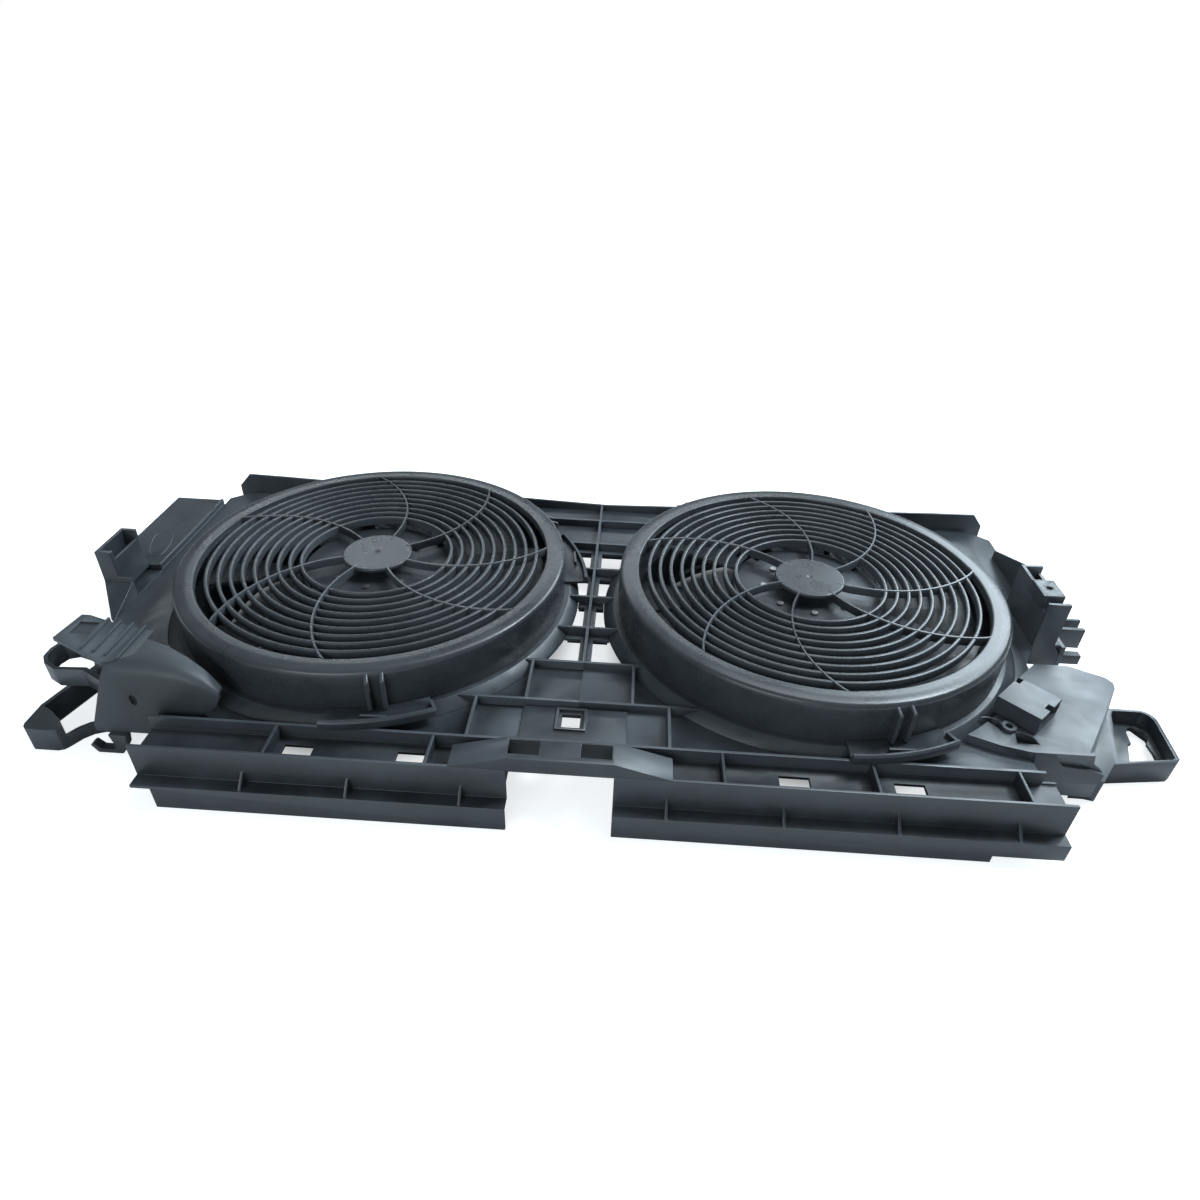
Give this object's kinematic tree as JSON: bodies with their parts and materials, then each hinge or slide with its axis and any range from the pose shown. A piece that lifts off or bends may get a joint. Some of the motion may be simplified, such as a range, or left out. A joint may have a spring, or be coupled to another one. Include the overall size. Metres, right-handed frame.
{
  "type": "condenser fan",
  "caption": "Twin axial condenser fan module: moulded shroud with two round spiral-spoked guards over electric fans, a ribbed front rail, side ears and mounting posts.",
  "frame": {"origin": "on the floor below the middle of the module's bounding box", "axes": "+Z along the fan axes towards the guards, +X along the length, towards the corner with the connector box, -Y towards the front rail"},
  "size_m": [0.864, 0.38, 0.083],
  "materials": {
    "shroud_plastic": "satin",
    "bracket_plastic": "satin",
    "guard_plastic": "satin",
    "fan_plastic": "satin",
    "motor_steel": "satin black",
    "fastener_steel": "zinc plated",
    "armature_steel": "laminated",
    "magnet_dark": "sintered ferrite",
    "bearing_brass": "sintered bronze",
    "bush_rubber": "moulded"
  },
  "bodies": {
    "shroud_module": {"shroud_left": "shroud_plastic", "shroud_right": "shroud_plastic", "rear_wall": "shroud_plastic", "front_rail_left": "shroud_plastic", "front_rail_right": "shroud_plastic", "rail_arch": "shroud_plastic", "catch_plate": "shroud_plastic", "cable_duct": "shroud_plastic", "cable_duct_cover": "shroud_plastic", "left_hook_post": "shroud_plastic", "left_bracket": "bracket_plastic", "left_upper_loop": "shroud_plastic", "left_front_ear": "shroud_plastic", "left_foot_hook": "shroud_plastic", "skirt_left": "shroud_plastic", "skirt_right": "shroud_plastic", "right_post": "shroud_plastic", "right_clip_comb": "shroud_plastic", "corner_platform": "shroud_plastic", "connector_box": "shroud_plastic", "right_ear": "shroud_plastic", "guard_grille_left": "guard_plastic", "guard_rim_left": "guard_plastic", "duct_ring_left": "shroud_plastic", "guard_latches_left": "shroud_plastic", "motor_magnets_left": "magnet_dark", "motor_can_left": "motor_steel", "motor_end_cap_left": "motor_steel", "motor_bearings_left": "bearing_brass", "motor_carrier_left": "shroud_plastic", "motor_bushes_left": "bush_rubber", "motor_screws_left": "fastener_steel", "guard_grille_right": "guard_plastic", "guard_rim_right": "guard_plastic", "duct_ring_right": "shroud_plastic", "guard_latches_right": "shroud_plastic", "motor_magnets_right": "magnet_dark", "motor_can_right": "motor_steel", "motor_end_cap_right": "motor_steel", "motor_bearings_right": "bearing_brass", "motor_carrier_right": "shroud_plastic", "motor_bushes_right": "bush_rubber", "motor_screws_right": "fastener_steel"},
    "fan_wheel_left": {"fan_left": "fan_plastic", "hub_rivets_left": "fastener_steel", "motor_shaft_left": "fastener_steel", "shaft_clip_left": "fastener_steel", "motor_armature_left": "armature_steel"},
    "fan_wheel_right": {"fan_right": "fan_plastic", "hub_rivets_right": "fastener_steel", "motor_shaft_right": "fastener_steel", "shaft_clip_right": "fastener_steel", "motor_armature_right": "armature_steel"}
  },
  "joints": [
    {"name": "fan_spin_left", "type": "hinge", "parent": "shroud_module", "child": "fan_wheel_left", "pos_m": [-0.186, 0.02, 0.05], "axis": [0, 0, 1], "continuous": true},
    {"name": "fan_spin_right", "type": "hinge", "parent": "shroud_module", "child": "fan_wheel_right", "pos_m": [0.17, 0.02, 0.05], "axis": [0, 0, 1], "continuous": true}
  ]
}
